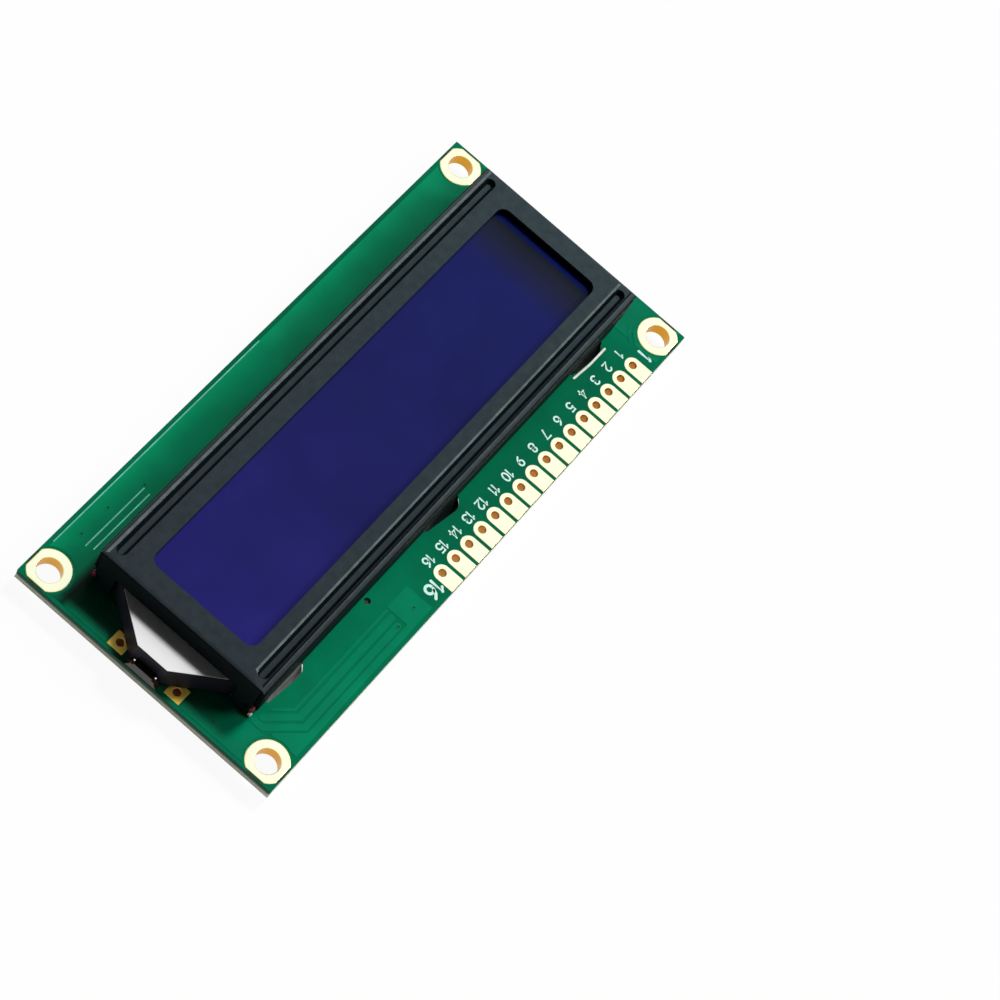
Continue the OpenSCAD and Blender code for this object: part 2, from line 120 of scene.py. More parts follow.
# %% [markdown]
# ## The floor and the light
#
# The module lies on a plain white table under studio light. A key lamp comes from beyond the
# far end, so the lit end falls into the bezel's shadow. A second, softer one comes from the
# far end too, but from the side of the pin holes, and draws a thin bright line along the
# rounded edges there. The world fills what is left, only weakly, so that shadows stay deep.
#
# A white floor that only reflects light turns grey in the picture. Here the *Light Path* node
# helps: to the camera, and to mirror and glass rays, the floor and the world are mostly plain
# white, while the light that reaches the module stays at its natural level.
#
# One helper makes a node, sets its values and lays its links in a single call.

# %% Helpers for node trees
bpy.context.scene.view_settings.view_transform = "Standard"


def feed(node, **values):
    """Sets properties and inputs by name, or by number as input_0, and links what is a socket."""
    for name, value in values.items():
        if name in node.bl_rna.properties:
            setattr(node, name, value)
            continue
        wanted = int(name[-1]) if name.startswith("input_") else name.replace("_", " ")
        if isinstance(value, bpy.types.NodeSocket):
            node.id_data.links.new(value, node.inputs[wanted])
        else:
            node.inputs[wanted].default_value = value
    return node


def add_node(tree, kind, **values):
    """A new node of that kind, fed with those values."""
    return feed(tree.nodes.new(kind), **values)


def maths(tree, operation, *numbers):
    """What a Math node makes of some numbers or sockets."""
    inputs = {f"input_{i}": number for i, number in enumerate(numbers)}
    return add_node(tree, "ShaderNodeMath", operation=operation, **inputs).outputs[0]


def seen_directly(tree):
    """One for camera, mirror and glass rays, nought for the light that bounces about."""
    rays = add_node(tree, "ShaderNodeLightPath").outputs
    mirror_or_glass = maths(tree, "MAXIMUM", rays["Is Glossy Ray"], rays["Is Transmission Ray"])
    return maths(tree, "MAXIMUM", rays["Is Camera Ray"], mirror_or_glass)


print("node helpers ready")

# %% [markdown]
# The world is white to the camera and faint to the module. Both lamps are suns, so only their
# direction counts, and their angle in degrees sets how soft their shadows are. The key shows
# in no reflection, because its glare would hide the blue of the window.

# %% Build the world and the lamps
SKY_LEVEL = 0.02
world = bpy.data.worlds.new("studio")
bpy.context.scene.world = world
world.use_nodes = True
sky = world.node_tree
strength = add_node(sky, "ShaderNodeMapRange", To_Min=SKY_LEVEL, To_Max=1.0,
                    Value=seen_directly(sky))
feed(sky.nodes["Background"], Color=(1, 1, 1, 1), Strength=strength.outputs[0])


def add_sun(name, towards, strength, angle, glossy=True):
    """A sun lamp whose light comes from the direction given."""
    lamp = bpy.data.lights.new(name, "SUN")
    lamp.energy, lamp.angle = strength, math.radians(angle)
    sun = put(name, lamp)
    sun.rotation_euler = Vector(towards).to_track_quat("Z", "Y").to_euler()
    sun.visible_glossy = glossy


add_sun("key", (-0.50, 0.05, 0.86), 2.35, 11, glossy=False)
add_sun("side", (-0.52, 0.52, 0.68), 1.15, 22)

# %% [markdown]
# The floor lies a hair below the module, so that the two never share a plane. The camera sees
# it as nearly plain white, and the small matt share that is left keeps the module's shadow.

# %% Lay the floor
REACH, HAIR = 6.0, 0.00002
WHITE_SHARE = 0.94
floor_mesh = bpy.data.meshes.new("floor")
floor_mesh.from_pydata([(x * REACH, y * REACH, -HAIR) for x, y in
                        ((-1, -1), (1, -1), (1, 1), (-1, 1))], [], [(0, 1, 2, 3)])
floor = put("floor", floor_mesh)
floor_paint = bpy.data.materials.new("white_table")
floor_paint.use_nodes = True
tree = floor_paint.node_tree
tree.nodes.remove(tree.nodes["Principled BSDF"])
matt = add_node(tree, "ShaderNodeBsdfDiffuse", Color=(0.9, 0.9, 0.9, 1))
plain = add_node(tree, "ShaderNodeEmission", Color=(1, 1, 1, 1), Strength=1.0)
share = add_node(tree, "ShaderNodeMapRange", To_Min=0.0, To_Max=WHITE_SHARE,
                 Value=seen_directly(tree))
blend = add_node(tree, "ShaderNodeMixShader", input_0=share.outputs[0],
                 input_1=matt.outputs[0], input_2=plain.outputs[0])
feed(tree.nodes["Material Output"], Surface=blend.outputs[0])
floor_mesh.materials.append(floor_paint)
print("floor", 2 * REACH, "m wide")

# %% [markdown]
# ## How the finishes are made
#
# Every finish starts from the *Principled BSDF*. A single flat colour looks like a drawing, so
# each one also gets fine variation: noise that shifts the colour a little, noise that changes
# the roughness, and a bump that breaks up the reflection. All the patterns read *Object*
# coordinates, which are metres in the part's own frame, so a noise scale of 2000 means about
# two grains to a millimetre.

# %% Helpers for finishes
GRAIN_HEIGHT = 0.00002


def finish(name, colour, roughness, metallic=0.0, gloss=0.5, mottle=0.0, mottle_scale=300,
           grain=0.0, grain_scale=3000, wear=0.0, **sockets):
    """A Principled material with mottled colour, uneven roughness and a fine bump."""
    paint = bpy.data.materials.new(name)
    paint.use_nodes = True
    tree = paint.node_tree
    skin = feed(tree.nodes["Principled BSDF"], Base_Color=(*colour, 1), Roughness=roughness,
                Metallic=metallic, Specular_IOR_Level=gloss, **sockets)
    place = add_node(tree, "ShaderNodeTexCoord").outputs["Object"]
    if mottle:
        clouds = add_node(tree, "ShaderNodeTexNoise", Scale=mottle_scale, Detail=3.0, Vector=place)
        shade = add_node(tree, "ShaderNodeMapRange", From_Min=0.3, From_Max=0.7,
                         To_Min=1 - mottle, To_Max=1 + mottle, Value=clouds.outputs["Fac"])
        tint = add_node(tree, "ShaderNodeVectorMath", operation="SCALE", name="tint",
                        input_0=colour, Scale=shade.outputs[0])
        feed(skin, Base_Color=tint.outputs[0])
    if wear:
        smears = add_node(tree, "ShaderNodeTexNoise", Scale=mottle_scale * 0.4, Detail=4.0,
                          Vector=place)
        uneven = add_node(tree, "ShaderNodeMapRange", From_Min=0.3, From_Max=0.7,
                          To_Min=roughness - wear, To_Max=roughness + wear,
                          Value=smears.outputs["Fac"])
        feed(skin, Roughness=uneven.outputs[0])
    if grain:
        grit = add_node(tree, "ShaderNodeTexNoise", Scale=grain_scale, Detail=2.0, Vector=place)
        bump = add_node(tree, "ShaderNodeBump", Strength=grain, Distance=GRAIN_HEIGHT,
                        Height=grit.outputs["Fac"])
        feed(skin, Normal=bump.outputs[0])
    return paint


def dress(paint, *names):
    """Gives each of these CAD nodes that one material."""
    for name in names:
        slots = nodes[name].data.materials
        slots.clear()
        slots.append(paint)
    print(paint.name, "on", ", ".join(names))


print("finish helpers ready")

# %% [markdown]
# ## Colours that follow the slope or the place
#
# Some finishes need more than noise, and most of these ramps paint light and shade. Plated gold
# is painted pale where it lies flat, a painted glare, yellow on the rounded rim of a land, and a
# deep ochre down the wall of a hole, a painted reflection of a wall that shows only other parts
# of the wall. The blue film is painted darker at the end that the frame shades. The lacquer is
# painted lighter towards the far end, the mask over copper darker towards the bezel, and the
# laminate's edges pale where light reaches them, while the mask over bare laminate changes
# slowly along the board. All of these are a *Color Ramp*: the gold's reads how far the surface
# faces up, and the others read the place along one axis.

# %% Helpers for ramps
def ramp_into_tint(paint, along, stops):
    """Colours a finish by a ramp along an axis or another number, and keeps its mottling."""
    tree = paint.node_tree
    low, high = stops[0][0], stops[-1][0]
    number = object_axis(tree, along) if isinstance(along, str) else along
    spread = add_node(tree, "ShaderNodeMapRange", From_Min=low, From_Max=high, Value=number)
    ramp = add_node(tree, "ShaderNodeValToRGB", Fac=spread.outputs[0])
    while len(ramp.color_ramp.elements) < len(stops):
        ramp.color_ramp.elements.new(0.5)
    for element, (value, colour) in zip(ramp.color_ramp.elements, stops):
        element.position = (value - low) / (high - low)
        element.color = (*colour, 1)
    feed(tree.nodes["tint"], input_0=ramp.outputs["Color"])


def object_axis(tree, axis):
    """The place along one axis, in metres."""
    place = add_node(tree, "ShaderNodeTexCoord").outputs["Object"]
    return add_node(tree, "ShaderNodeSeparateXYZ", Vector=place).outputs[axis]


def facing_up(tree):
    """Nought on an upright wall and one on a level face, up or down."""
    normal = add_node(tree, "ShaderNodeTexCoord").outputs["Normal"]
    upwards = add_node(tree, "ShaderNodeSeparateXYZ", Vector=normal).outputs["Z"]
    return maths(tree, "ABSOLUTE", upwards)


def plated(name, wall, rim, top, roughness=0.3, metallic=1.0):
    """Gold plating with painted reflections: pale glare on the level face, deeper to the hole's
    wall.
    """
    paint = finish(name, top, roughness, metallic=metallic, mottle=0.04, mottle_scale=500,
                   grain=0.12, wear=0.06)
    ramp_into_tint(paint, facing_up(paint.node_tree),
                   [(0, wall), (0.5, wall), (0.7, rim), (0.96, rim), (0.998, top)])
    return paint


print("ramp helpers ready")

# %% [markdown]
# ## Rounding what a press has rounded
#
# CAD edges are perfectly sharp, so they catch no light. On the real bezel the sheet turns
# over a small radius at each pressed edge, and those radii carry the brightest lines. The
# *Bevel* modifier could round every edge, but it would also eat the small reliefs at the
# corners. Here a copy of the solid is merged, its flat faces are made whole again, and bmesh
# bevels only the edges that a test picks. Area-weighted normals then keep the large flats flat.

# %% Helpers for rounded copies
def clean_copy(node):
    """A CAD solid as one connected shape: doubles merged, flat faces made whole."""
    shape = bmesh.new()
    shape.from_mesh(nodes[node].data)
    bmesh.ops.remove_doubles(shape, verts=shape.verts[:], dist=2e-7)
    bmesh.ops.dissolve_limit(shape, angle_limit=math.radians(0.3), verts=shape.verts[:],
                             edges=shape.edges[:])
    return shape


def round_edges(shape, wanted, width, segments=3):
    """Bevels the sharp edges whose two ends pass the test, and says how many there were."""
    sharp = [edge for edge in shape.edges
             if len(edge.link_faces) == 2 and edge.calc_face_angle() > math.radians(30)
             and all(wanted(vert.co) for vert in edge.verts)]
    bmesh.ops.bevel(shape, geom=sharp, offset=width, offset_type="OFFSET", segments=segments,
                    profile=0.5, affect="EDGES", clamp_overlap=True)
    return len(sharp)


print("rounding helpers ready")

# %% [markdown]
# ## Making a shape a piece of the module
#
# A shape ends as a plain mesh on an object of its own, which stays at the origin, unturned,
# and rides on the module's one body. It gets its finish, and the CAD solid that it stands for,
# if there is one, is hidden. Some shapes then need another finish on a few faces, which a test
# picks by where they lie and which way they face.

# %% Helpers for pieces
SHARP_ABOVE = math.radians(35)


def evaluated(thing):
    """What an object's modifiers make of it, as a plain mesh."""
    return bpy.data.meshes.new_from_object(
        thing.evaluated_get(bpy.context.evaluated_depsgraph_get()))


def add_piece(name, shape, paint, stands_for=()):
    """Makes a shape one piece of the module: smooth, finished and riding on its body."""
    if isinstance(shape, bmesh.types.BMesh):
        mesh = bpy.data.meshes.new(name)
        shape.to_mesh(mesh)
        shape.free()
    else:
        mesh = shape
    mesh.materials.clear()
    mesh.materials.append(paint)
    mesh.polygons.foreach_set("use_smooth", [True] * len(mesh.polygons))
    mesh.set_sharp_from_angle(angle=SHARP_ABOVE)
    thing = put(name, mesh)
    thing.modifiers.new("flats", "WEIGHTED_NORMAL").keep_sharp = True
    solid = evaluated(thing)
    thing.modifiers.clear()
    thing.data = solid
    solid.name = name
    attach(thing, "root")
    if stands_for:
        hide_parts(*stands_for)
    print(name, len(solid.polygons), "faces")
    return thing


def second_finish(thing, paint, wanted):
    """Gives the faces that pass the test another finish."""
    thing.data.materials.append(paint)
    index, count = len(thing.data.materials) - 1, 0
    for face in thing.data.polygons:
        if wanted(face.center, face.normal):
            face.material_index = index
            count += 1
    print(paint.name, "on", count, "faces of", thing.name)


print("piece helpers ready")

# %% [markdown]
# ## The bezel
#
# The real bezel is mild steel, pressed, folded and coated in a thin satin black lacquer. The
# lacquer is dark grey rather than black and has a faint grain like fine orange peel. A painted
# gradient of light makes it a little lighter at the far end. Three more finishes paint light
# and shade. On steep walls a near-black paints the shade that falls there. A lighter grey
# paints a highlight on the lips. And the last tab is painted a pale grey, which stands in for
# the light seen in its slot.

# %% Mix the lacquers
satin_black = finish("satin_black", (0.027, 0.040, 0.045), 0.38, gloss=0.1, mottle=0.16,
                     mottle_scale=900, grain=0.22, grain_scale=5000, wear=0.06)
# Painted shade: a near-black for the steep faces, where shade falls.
painted_shade_black = finish("painted_shade_black", (0.004, 0.007, 0.008), 0.55, gloss=0.02, mottle=0.2,
                    mottle_scale=700, grain=0.2)
# Painted light: a pale grey for the last tab, for the light seen in its slot.
pale_painted_tab = finish("pale_painted_tab", (0.17, 0.175, 0.165), 0.45, gloss=0.2, mottle=0.3,
                    mottle_scale=900)
# Painted highlight: a lighter grey for the lips.
painted_highlight_lip = finish("painted_highlight_lip", (0.110, 0.145, 0.145), 0.3, gloss=0.25, mottle=0.25,
                      mottle_scale=900, grain=0.2)
# Painted light: the lacquer is lighter at the far end than at the lamp's end.
ramp_into_tint(satin_black, "X", [
    (bezel_lo.x, (0.034, 0.051, 0.058)),
    (bezel_lo.x + 20 * MM, (0.028, 0.042, 0.048)),
    (bezel_hi.x, (0.023, 0.032, 0.038)),
])
print("four lacquers for the bezel")

# %% [markdown]
# The press leaves soft mouths towards the window, tight ones where the sheet is about to fold
# down, and rounded edges along the beads' floors. The bevel keeps clear of edges nearby, so it
# comes out narrow at the mouths. To give a lip its full width, two lines are scored across the
# faces near the top, and the strip between them gets a painted highlight.

# %% Round the pressed edges and score the lip
BEAD_Y = 0.00994          # the middle of a bead, from the bezel's centre line
BEAD_INNER = 0.0085       # just inside its nearer edge
LIP = (0.00900, 0.00927)  # the strip painted with a highlight
LEVEL = 0.00001           # how exactly a point has to lie on a face
bezel_shape = clean_copy("bezel")
top = bezel_hi.z


def inner_mouth(place):
    """The window's edge and the beads' edges towards it lie level with the top."""
    return abs(place.z - top) < LEVEL and abs(place.y - bezel_y) < BEAD_Y


def outer_mouth(place):
    """The beads' edges away from the window, where the sheet soon folds down."""
    return abs(place.z - top) < LEVEL and abs(place.y - bezel_y) >= BEAD_Y


def bead_floor_edge(place):
    """The floors of the beads lie a little below the top, above the window's glass."""
    return top - 0.0009 < place.z < top - 0.0006 and abs(place.y - bezel_y) > BEAD_INNER


def score(shape, y):
    """A line across the faces near the top, so that a strip can get its own finish."""
    faces = [face for face in shape.faces if face.calc_center_median().z > top - 0.0008]
    parts = dict.fromkeys([*faces, *(edge for face in faces for edge in face.edges),
                           *(vert for face in faces for vert in face.verts)])
    bmesh.ops.bisect_plane(shape, geom=list(parts), dist=1e-7, plane_co=(0, y, 0),
                           plane_no=(0, 1, 0))


for test, width in ((inner_mouth, 0.00024), (outer_mouth, 0.00005), (bead_floor_edge, 0.0001)):
    print(test.__name__, "rounds", round_edges(bezel_shape, test, width), "edges")
for line in LIP:
    score(bezel_shape, bezel_y + line)
bezel_skin = add_piece("bezel_skin", bezel_shape, satin_black,
                       stands_for=["bezel"])

# %% [markdown]
# The walls of the beads and the window, the folded sides and the tabs are told by their steep
# faces, and get a near-black that paints the shade on them. The crest is the last level strip
# before the sheet folds down. On the side of the pin holes it lies in the fold's own shade and
# is painted near-black too, and on the other side a painted highlight shows it catching the light.

# %% Finish the walls, the lips and the last tab
CREST = 0.0106  # where the crest begins, from the bezel's centre line


def in_painted_shade(place, facing):
    """Faces painted with shade: walls, folded sides and tabs, and the crest by the pin holes."""
    pin_side_crest = CREST < place.y - bezel_y < CREST + 0.0003
    return abs(facing.z) < 0.6 or pin_side_crest


def is_last_tab(place, facing):
    """The twisted part of the tab nearest the lamp, on the side of the pin holes."""
    return place.x > 0.02 and place.y > bezel_y + 0.0105 and place.z < front_z


def is_lip(place, facing):
    """Where a highlight is painted: the inner lip of the bead by the pin holes, and the far crest.
    """
    y = place.y - bezel_y
    near_bead = LIP[0] < y < LIP[1] + 0.0001 and facing.z > 0.3
    far_crest = -CREST - 0.00042 < y < -CREST and facing.z > 0.9
    return (place.z > top - 0.0003 and abs(place.x) < bezel_hi.x - 0.0012
            and (near_bead or far_crest))


# Steep faces get the near-black that paints their shade.
second_finish(bezel_skin, painted_shade_black, in_painted_shade)
# The lips get the lighter grey that paints their highlight.
second_finish(bezel_skin, painted_highlight_lip, is_lip)
# The last tab gets the pale grey that paints the light seen in its slot.
second_finish(bezel_skin, pale_painted_tab, is_last_tab)

# %% [markdown]
# ## The window
#
# What shows in the window is the blue film of a switched-off display. Light that gets through
# it comes back from the white film behind the glass, except near the far end, where the frame
# shades that white film. So the blue fades there to a dark slate. Right under the frame a
# thin strip stays deep blue, where light leaks in past the glass. One ramp along X paints both
# into the film's colour, the shade as the fade and the leaking light as the strip, and the
# mottling adds slight stains.

# %% Finish the films and the glass
blue_film = finish("blue_film", (0.008, 0.014, 0.118), 0.28, gloss=0.08, mottle=0.15,
                   mottle_scale=110, grain=0.05)
film_end = bezel_lo.x + 2.9 * MM
# Painted shade and light: the fade near the far end, and the deep blue strip under the frame.
ramp_into_tint(blue_film, "X", [(film_end + inwards * MM, colour) for inwards, colour in (
    (0, (0, 0.004, 0.080)),
    (1.05, (0, 0.004, 0.070)),
    (1.25, (0.004, 0.008, 0.016)),
    (2.2, (0.010, 0.014, 0.028)),
    (4.2, (0.012, 0.015, 0.052)),
    (7.5, (0.009, 0.013, 0.106)),
    (40, (0.012, 0.013, 0.112)),
    (58, (0.015, 0.014, 0.138)),
)])
clear_glass = finish("clear_glass", (0.9, 0.97, 0.95), 0.03, Transmission_Weight=1.0, IOR=1.5)
amber_epoxy = finish("amber_epoxy", (0.7, 0.5, 0.2), 0.25, mottle=0.1,
                     Transmission_Weight=0.4)
pink_silicone = finish("pink_silicone", (0.22, 0.012, 0.035), 0.35, gloss=0.3, mottle=0.15,
                       grain=0.2)
white_film = finish("white_film", (0.9, 0.9, 0.9), 0.35, gloss=0.4, mottle=0.02, grain=0.1)
dress(blue_film, "front_polarizer", "rear_polarizer")
dress(clear_glass, "front_glass", "rear_glass")
dress(amber_epoxy, "filling_port_seal")
dress(pink_silicone, "connector_strip_upper", "connector_strip_lower")
dress(white_film, "diffuser_film", "rear_reflector", "tongue_reflector")

# %% [markdown]
# ## The plated holes
#
# Each hole has a land on both faces and a plated wall between them. The plating is rounded at
# its rims, so these copies are bevelled too. A land is much wider than it is thick, and so is
# its rounding: the copy is stretched upwards, bevelled and let back, which leaves a rim that is
# four times as wide as it is deep. The ramp over the slope does the rest and paints the
# reflections: a painted glare, pale on the flat, yellow on the rim, and ochre or copper down the
# hole. The outer side of a land is as steep as a hole's wall but open to the light, so its faces
# get the rim's gold.

# %% Plate the holes
FLATTEN, RIM_WIDTH = 4, 0.00013
OFF_THE_BOARD = 0.00003
# GLARE_GOLD is the pale of a painted glare on the flat of a land.
RIM_GOLD, GLARE_GOLD = (0.80, 0.74, 0.30), (0.97, 1.0, 0.74)


def land_edge(place):
    """The rims of a land, on either face of a copy that is stretched upwards."""
    height = place.z / FLATTEN
    return height > front_z + OFF_THE_BOARD or height < back_z - OFF_THE_BOARD


def is_land_side(place, facing):
    """The outer side of a land, off the board, but not the wall of its hole."""
    return not back_z < place.z < front_z and abs(facing.z) < 0.9


rim_gold = finish("rim_gold", RIM_GOLD, 0.35, metallic=1.0, mottle=0.05, mottle_scale=500)
for node, paint in {
    "mounting_hole_plating": plated("screw_gold", (0.66, 0.31, 0.02), RIM_GOLD, GLARE_GOLD),
    "header_hole_plating": plated("pin_gold", (0.50, 0.18, 0.010), RIM_GOLD, GLARE_GOLD),
    "lamp_lands": plated("lamp_gold", (0.85, 0.30, 0.01), (0.95, 0.60, 0.08),
                         (1.0, 0.66, 0.10), roughness=0.45, metallic=0.3),
}.items():
    lands = clean_copy(node)
    bmesh.ops.scale(lands, vec=(1, 1, FLATTEN), verts=lands.verts[:])
    round_edges(lands, land_edge, RIM_WIDTH, segments=2)
    bmesh.ops.scale(lands, vec=(1, 1, 1 / FLATTEN), verts=lands.verts[:])
    skin = add_piece(node + "_skin", lands, paint, stands_for=[node])
    second_finish(skin, rim_gold, is_land_side)
dress(plated("finger_gold", (0.5, 0.3, 0.06), (0.9, 0.7, 0.3), (0.95, 0.8, 0.45)),
      "contact_fingers")

# %% [markdown]
# ## The laminate and its solder mask
#
# The board is woven glass in yellowish resin, and it would be tan all over but for the green
# solder mask, a lacquer some two hundredths of a millimetre thick on each face. The sawn edges
# stay bare: dark green near the top, where the resin takes the mask's colour, and pale below,
# a painted light for the white table shining into the resin. The edge along the pin holes, which
# faces the light, is painted pale all over. The mask stops at every land, and it lies a little
# higher and looks lighter where there is copper under it.
#
# A mask this thin could be faked with a pattern, but then its edge would have no height.
# Here each sheet is a real one: prisms over its outline, less prisms over the openings, which
# the *Boolean* modifier takes out. Its exact solver works best on sizes near one, so the
# outlines are in millimetres and the result is scaled down afterwards.

# %% Helpers for outlines and sheets
def box_outline(x0, y0, x1, y1):
    """A rectangle, anticlockwise."""
    return [(x0, y0), (x1, y0), (x1, y1), (x0, y1)]


def bend(x, y, across, up, start, stop, steps=9):
    """Points on an ellipse between two angles in degrees."""
    return [(x + across * math.cos(math.radians(start + (stop - start) * i / steps)),
             y + up * math.sin(math.radians(start + (stop - start) * i / steps)))
            for i in range(steps + 1)]


def disc_outline(x, y, radius, steps=48):
    """A circle, anticlockwise."""
    return bend(x, y, radius, radius, 0, 360, steps)[:-1]


def prism(shape, outline, low, high):
    """Adds an upright prism over an outline."""
    under = [shape.verts.new((x, y, low)) for x, y in outline]
    over = [shape.verts.new((x, y, high)) for x, y in outline]
    shape.faces.new(reversed(under))
    shape.faces.new(over)
    for i in range(len(outline)):
        j = (i + 1) % len(outline)
        shape.faces.new((under[i], under[j], over[j], over[i]))


def prisms(outlines, low, high):
    """One object that holds a prism over each of the outlines."""
    shape = bmesh.new()
    for outline in outlines:
        prism(shape, outline, low, high)
    mesh = bpy.data.meshes.new("prisms")
    shape.to_mesh(mesh)
    shape.free()
    return put("prisms", mesh)


def lay_sheet(name, outlines, holes, low, high, paint):
    """A flat sheet with holes as one piece, brought down from millimetres to metres."""
    sheet, cutter = prisms(outlines, low, high), prisms(holes, low - 1, high + 1)
    cut = sheet.modifiers.new("holes", "BOOLEAN")
    cut.operation, cut.solver, cut.object = "DIFFERENCE", "EXACT", cutter
    cut.use_self = True
    mesh = evaluated(sheet)
    for thing in (sheet, cutter):
        bpy.data.objects.remove(thing)
    mesh.transform(Matrix.Scale(MM, 4))
    add_piece(name, mesh, paint)


print("sheet helpers ready")

# %% [markdown]
# The openings follow the lands: round at the screws, U-shaped at the pins, square at the lamp.
# Those at the board's edge run past it, so the boolean cuts them open to the side. The lacquer
# also bridges the corners of the tabs' slots on the front, and leaves a wedge over each tab.

# %% List the openings
half_length, half_width = board_hi.x / MM, board_hi.y / MM
MASK_GAP = 0.015                          # room between the mask and a land
SCREW_LAND, PIN_LAND = 2.55, 1.05         # radii of the round lands and of a U's head
LAMP_LAND = 2.1                           # side of a square land
TAB_INSET, SLOT_HALF = 6.35, 3.5          # the slots' places and half lengths
WALL_Y = 11.6                             # outer face of the bezel's long sides
SLOT_INSIDE, SLOT_WIDTH = 0.62, 1.69      # how far a slot runs under the wall, and its width
LOCATOR_X, LOCATOR_OUT, LOCATOR_R = 15, 0.65, 0.42
CONTACT_ROWS, CONTACT_DEPTH = (-10.75, 8.55), 2.2  # bare rows under the connector strips
slot_x, middle = bezel_hi.x / MM - TAB_INSET, bezel_y / MM
# What the mask leaves open over each tab: how far out from the wall and where along the slot.
WEDGES = {-slot_x: [(3.5, 0.35), (-0.4, 0.80), (-1.6, 0.80), (-2.8, 0.1)],
          0: [(3.5, 0.28), (-1.2, 1.04), (-1.9, 0.9), (-2.8, 0.1)],
          slot_x: [(3.5, 0.30), (-1.2, 0.80), (-2.0, 0.7), (-2.9, 0.1)]}


def pin_opening(x, gap):
    """A U round a pin's land that is open towards the board's edge."""
    radius = PIN_LAND + gap
    beyond = half_width + 1
    return (bend(x, first_pin.y / MM, radius, radius, 180, 360, 16)
            + [(x + radius, beyond), (x - radius, beyond)])


def openings(gap, front=False):
    """Every opening in a mask, with that much room round each land."""
    shapes = [disc_outline(i * screw_x / MM, j * screw_y / MM, SCREW_LAND + gap)
              for i in (-1, 1) for j in (-1, 1)]
    shapes += [pin_opening(x / MM, gap) for x in pin_xs]
    for y in (lands_lo.y / MM, lands_hi.y / MM - LAMP_LAND):
        shapes.append(box_outline(lands_lo.x / MM - gap, y - gap,
                                  lands_hi.x / MM + gap, y + LAMP_LAND + gap))
    foot, inside = middle - WALL_Y + SLOT_INSIDE, middle + WALL_Y - SLOT_INSIDE
    for x, wedge in WEDGES.items():
        far, near = x - SLOT_HALF, x + SLOT_HALF
        if front:
            shapes.append(box_outline(far, foot - 0.65, near, foot))
            shapes.append([(far + 0.7, inside), (near, inside)]
                          + [(x + along, middle + WALL_Y + out) for along, out in wedge])
        else:
            shapes.append(box_outline(far, foot - SLOT_WIDTH, near, foot))
            shapes.append(box_outline(far, inside, near, inside + SLOT_WIDTH))
    shapes.append(disc_outline(LOCATOR_X, middle + WALL_Y + LOCATOR_OUT, LOCATOR_R, 24))
    if front:
        for y in CONTACT_ROWS:
            shapes.append(box_outline(-30, middle + y, 30, middle + y + CONTACT_DEPTH))
    return shapes


print(len(openings(MASK_GAP)), "openings on the back face")

# %% [markdown]
# The laminate's ramp runs up Z and paints light on the sawn edges: pale at the foot. A *Compare*
# node tells the edge along the pin holes, and takes the board's height off there, so that this
# edge reads the painted pale foot of the ramp all over.

# %% Finish the laminate
laminate = finish("bare_laminate", (0.03, 0.12, 0.085), 0.6, gloss=0.05, mottle=0.06,
                  mottle_scale=1500, grain=0.2)
tree = laminate.node_tree
painted_light_edge = maths(tree, "COMPARE", object_axis(tree, "Y"), board_hi.y, LEVEL)
height = maths(tree, "MULTIPLY_ADD", painted_light_edge, -board_hi.z, object_axis(tree, "Z"))
# Painted light: pale at the foot of the edges, and pale all over along the pin holes.
ramp_into_tint(laminate, height, [
    (back_z, (0.74, 0.76, 0.62)),
    (back_z + 0.65 * MM, (0.66, 0.69, 0.54)),
    (back_z + 1.0 * MM, (0.05, 0.14, 0.10)),
    (front_z, (0.02, 0.07, 0.045)),
])
dress(laminate, "printed_circuit_board")

# %% [markdown]
# Two greens make the mask. Over bare laminate it is dark, darkest in the middle of the board.
# Over copper it is light, and shade is painted into it: darker towards the bezel, darkest in
# a line where the bezel's foot keeps the light out, lighter out towards the board's long edges.

# %% Lay the solder mask
DARK_GREEN, LIGHT_GREEN = (0, 0.130, 0.060), (0, 0.205, 0.098)
flow = {"mottle": 0.10, "mottle_scale": 250, "grain": 0.12, "grain_scale": 1500, "wear": 0.05}
mask_dark = finish("mask_over_laminate", DARK_GREEN, 0.3, gloss=0.06, **flow)
mask_light = finish("mask_over_copper", LIGHT_GREEN, 0.26, gloss=0.08, **flow)
ramp_into_tint(mask_dark, "X", [
    (-0.040, (0, 0.185, 0.088)),
    (-0.034, (0, 0.165, 0.078)),
    (-0.030, DARK_GREEN),
    (0.004, DARK_GREEN),
    (0.012, (0, 0.162, 0.075)),
    (0.040, (0, 0.162, 0.075)),
])
# Painted shade: darker towards the bezel, with a dark line at its foot away from the pin holes.
ramp_into_tint(mask_light, "Y", [
    (-0.018, (0, 0.295, 0.122)),
    (-0.0155, (0, 0.200, 0.090)),
    (-0.0131, (0, 0.125, 0.058)),
    (-0.0121, (0, 0.030, 0.018)),
    (-0.0115, (0, 0.150, 0.070)),
    (-0.010, LIGHT_GREEN),
    (0.0125, (0, 0.185, 0.090)),
    (0.018, (0, 0.225, 0.105)),
])
MASK_T, COPPER_T = 0.02, 0.03
front, back = front_z / MM, back_z / MM
SAWN_BACK = 0.02  # how far the saw has chipped the mask away at the board's edge
mask_x, mask_y = half_length - SAWN_BACK, half_width - SAWN_BACK
whole = [box_outline(-mask_x, -mask_y, mask_x, mask_y)]
lay_sheet("mask_front", whole, openings(MASK_GAP, front=True), front, front + MASK_T, mask_dark)
lay_sheet("mask_back", whole, openings(MASK_GAP), back - MASK_T, back, mask_dark)

# %% [markdown]
# Copper that carries no track is left on the board as a ground plane, which the mask covers.
# It keeps clear of the board's edge, of the lands and of the tracks.

